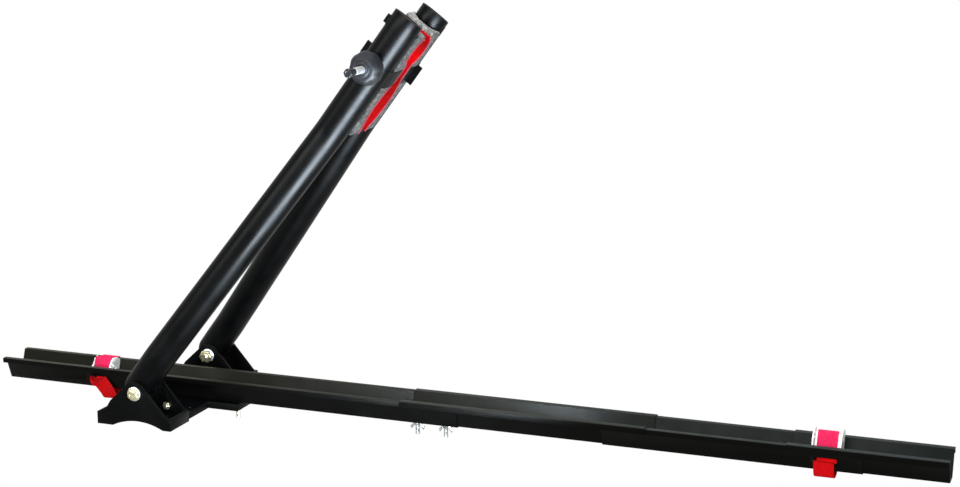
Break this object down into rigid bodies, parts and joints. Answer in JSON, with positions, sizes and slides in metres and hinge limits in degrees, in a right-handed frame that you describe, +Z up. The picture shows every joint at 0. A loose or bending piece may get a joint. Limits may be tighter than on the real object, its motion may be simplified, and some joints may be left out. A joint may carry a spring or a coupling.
{
  "type": "roof bike carrier",
  "caption": "Upright roof bike carrier: folded steel wheel tray, leaning tube arms with padded jaws, a clamp knob and webbing wheel straps.",
  "frame": {"origin": "middle of the roof bar seat, on the underside of the seat rubber", "axes": "+X along the wheel tray towards its long end, +Y across it away from the knob, +Z up"},
  "size_m": [1.4, 0.2904, 0.6116],
  "materials": {
    "tray_coat": "satin",
    "arm_coat": "satin",
    "zinc": "satin",
    "steel": "satin",
    "brass": "satin",
    "seat_rubber": "matte",
    "foam": "matte",
    "liner": "satin",
    "webbing": "matte",
    "buckle": "satin",
    "plastic": "matte"
  },
  "bodies": {
    "base": {"first_section": "tray_coat", "long_section": "tray_coat", "short_section": "tray_coat", "last_section": "tray_coat", "joiner_bolts": "zinc", "wing_nuts": "zinc", "joiner_rivets": "steel", "saddle": "arm_coat", "seat_rubber": "seat_rubber", "near_bracket": "arm_coat", "far_bracket": "arm_coat", "saddle_bolts": "zinc", "saddle_nuts": "zinc", "bracket_bolts": "zinc", "bracket_nuts": "zinc", "pivot_bolts": "zinc", "pivot_washers": "steel", "pivot_nuts": "zinc", "clamp_screws": "zinc", "near_strap": "webbing", "near_buckle": "buckle", "near_buckle_pin": "steel", "far_strap": "webbing", "far_buckle": "buckle", "far_buckle_pin": "steel"},
    "arms": {"far_arm": "arm_coat", "far_foot": "arm_coat", "far_sleeve": "steel", "far_plug": "plastic", "far_pad": "foam", "far_liner": "liner", "far_bands": "arm_coat", "stud": "steel", "stud_nut": "zinc", "stud_washer": "steel"},
    "swing_arm": {"near_arm": "arm_coat", "near_foot": "arm_coat", "near_sleeve": "steel", "near_plug": "plastic", "near_pad": "foam", "near_liner": "liner", "near_bands": "arm_coat"},
    "washer": {"knob_washer": "steel"},
    "clamp_knob": {"knob": "plastic", "knob_insert": "brass"},
    "near_cam": {"near_lever": "buckle"},
    "far_cam": {"far_lever": "buckle"}
  },
  "joints": [
    {"name": "arm_fold", "type": "hinge", "parent": "base", "child": "arms", "pos_m": [0, 0, 0.042], "axis": [0, 1, 0], "range_deg": [-30, 47]},
    {"name": "jaw_open", "type": "hinge", "parent": "arms", "child": "swing_arm", "pos_m": [0, -0.1075, 0.042], "axis": [0.8018, 0, -0.5976], "range_deg": [0, 3.6]},
    {"name": "knob_travel", "type": "slide", "parent": "arms", "child": "washer", "axis": [0, -1, 0], "range_m": [0, 0.0376]},
    {"name": "knob_turn", "type": "hinge", "parent": "washer", "child": "clamp_knob", "pos_m": [0.3404, -0.085, 0.5104], "axis": [0, -1, 0], "continuous": true},
    {"name": "near_lever_cam", "type": "hinge", "parent": "base", "child": "near_cam", "pos_m": [-0.138, 0.01039, 0.02817], "axis": [1, 0, 0], "range_deg": [0, 70]},
    {"name": "far_lever_cam", "type": "hinge", "parent": "base", "child": "far_cam", "pos_m": [0.952, 0.00917, 0.02861], "axis": [1, 0, 0], "range_deg": [0, 70]}
  ],
  "couplings": [
    {"joint": "knob_travel", "follows": "jaw_open", "m_per_rad": 0.596}
  ]
}
